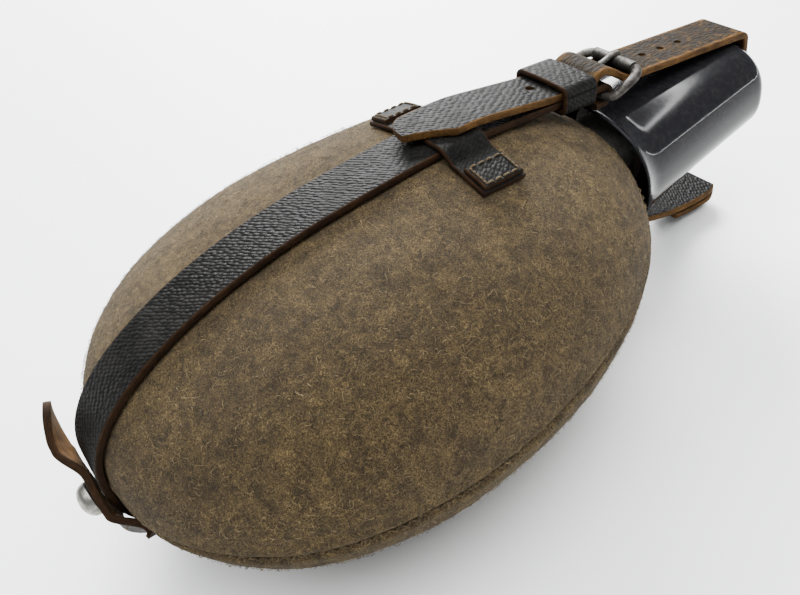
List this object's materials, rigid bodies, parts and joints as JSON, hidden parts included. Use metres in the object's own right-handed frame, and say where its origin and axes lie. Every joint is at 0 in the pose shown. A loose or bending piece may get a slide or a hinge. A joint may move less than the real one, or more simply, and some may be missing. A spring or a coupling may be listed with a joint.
{
  "type": "canteen",
  "caption": "Field canteen lying on its back: felt-covered oval flask, cup upside down over its neck, leather strap buckled lengthwise round both.",
  "frame": {"origin": "middle of the flat run of strap at the back, which the canteen rests on", "axes": "+Y from the rounded base to the cup, +Z the front of the canteen (up as it lies), +X across it"},
  "size_m": [0.1462, 0.2634, 0.0962],
  "materials": {
    "flask": "dull",
    "felt": "mottled wool felt",
    "stopper": "satin",
    "gasket": "cork",
    "cup": "gloss",
    "black_leather": "pebbled, with brown cut edges",
    "worn_leather": "rubbed brown at its edges",
    "buckle": "worn",
    "stud": "polished"
  },
  "bodies": {
    "canteen": {"bottle": "flask", "felt_cover_front": "felt", "felt_cover_back": "felt", "main_strap": "black_leather", "front_loop": "black_leather", "tab_patch": "worn_leather", "stud_post": "stud", "carry_patch": "black_leather"},
    "cap_seal": {"cap_gasket": "gasket"},
    "cap": {"screw_cap": "stopper"},
    "cup": {"cup": "cup"},
    "strap_end": {"strap_end": "worn_leather"},
    "strap_top": {"strap_top": "worn_leather"},
    "strap_tip": {"strap_tip": "worn_leather"},
    "keeper": {"keeper": "black_leather"},
    "buckle": {"buckle_frame": "buckle"},
    "prong": {"buckle_prong": "buckle"},
    "base_tab": {"base_tab": "worn_leather", "stud_cap": "stud"},
    "carrying_loop": {"carrying_loop": "black_leather"}
  },
  "joints": [
    {"name": "strap_open", "type": "hinge", "parent": "canteen", "child": "strap_end", "pos_m": [0, 0.132, 0.02673], "axis": [-1, 0, 0], "range_deg": [0, 90], "deforming": ["strap_end", "strap_top", "strap_tip"]},
    {"name": "strap_unfold", "type": "hinge", "parent": "strap_end", "child": "strap_top", "pos_m": [0, 0.15745, 0.0654], "axis": [-1, 0, 0], "range_deg": [0, 79]},
    {"name": "strap_tip_lift", "type": "hinge", "parent": "strap_top", "child": "strap_tip", "pos_m": [0, 0.06015, 0.08881], "axis": [-1, 0, 0], "range_deg": [0, 35]},
    {"name": "cup_lift", "type": "slide", "parent": "canteen", "child": "cup", "axis": [0, 1, 0], "range_m": [0, 0.06]},
    {"name": "cap_rise", "type": "slide", "parent": "canteen", "child": "cap_seal", "axis": [0, 1, 0], "range_m": [0, 0.0091]},
    {"name": "cap_turn", "type": "hinge", "parent": "cap_seal", "child": "cap", "pos_m": [0, 0.108, 0.0503], "axis": [0, 1, 0], "range_deg": [0, 1080]},
    {"name": "keeper_slide", "type": "slide", "parent": "canteen", "child": "keeper", "axis": [0, 0.9862, -0.1657], "range_m": [-0.007, 0]},
    {"name": "buckle_tilt", "type": "hinge", "parent": "canteen", "child": "buckle", "pos_m": [0, 0.0905, 0.07739], "axis": [1, 0, 0], "range_deg": [0, 30]},
    {"name": "prong_lift", "type": "hinge", "parent": "buckle", "child": "prong", "pos_m": [0, 0.0905, 0.07739], "axis": [1, 0, 0], "range_deg": [0, 50]},
    {"name": "tab_open", "type": "hinge", "parent": "canteen", "child": "base_tab", "pos_m": [0.0075, -0.09964, 0.03823], "axis": [0.6207, -0.1603, 0.7675], "range_deg": [0, 80]},
    {"name": "carrying_loop_swing", "type": "hinge", "parent": "canteen", "child": "carrying_loop", "pos_m": [0, 0.0682, 0.0046], "axis": [-1, 0, 0], "range_deg": [0, 80]}
  ],
  "couplings": [
    {"joint": "strap_unfold", "follows": "strap_open", "ratio": 0.867},
    {"joint": "cup_lift", "follows": "strap_open", "m_per_rad": 0.0381},
    {"joint": "cap_rise", "follows": "cap_turn", "m_per_rad": 0.000477}
  ]
}
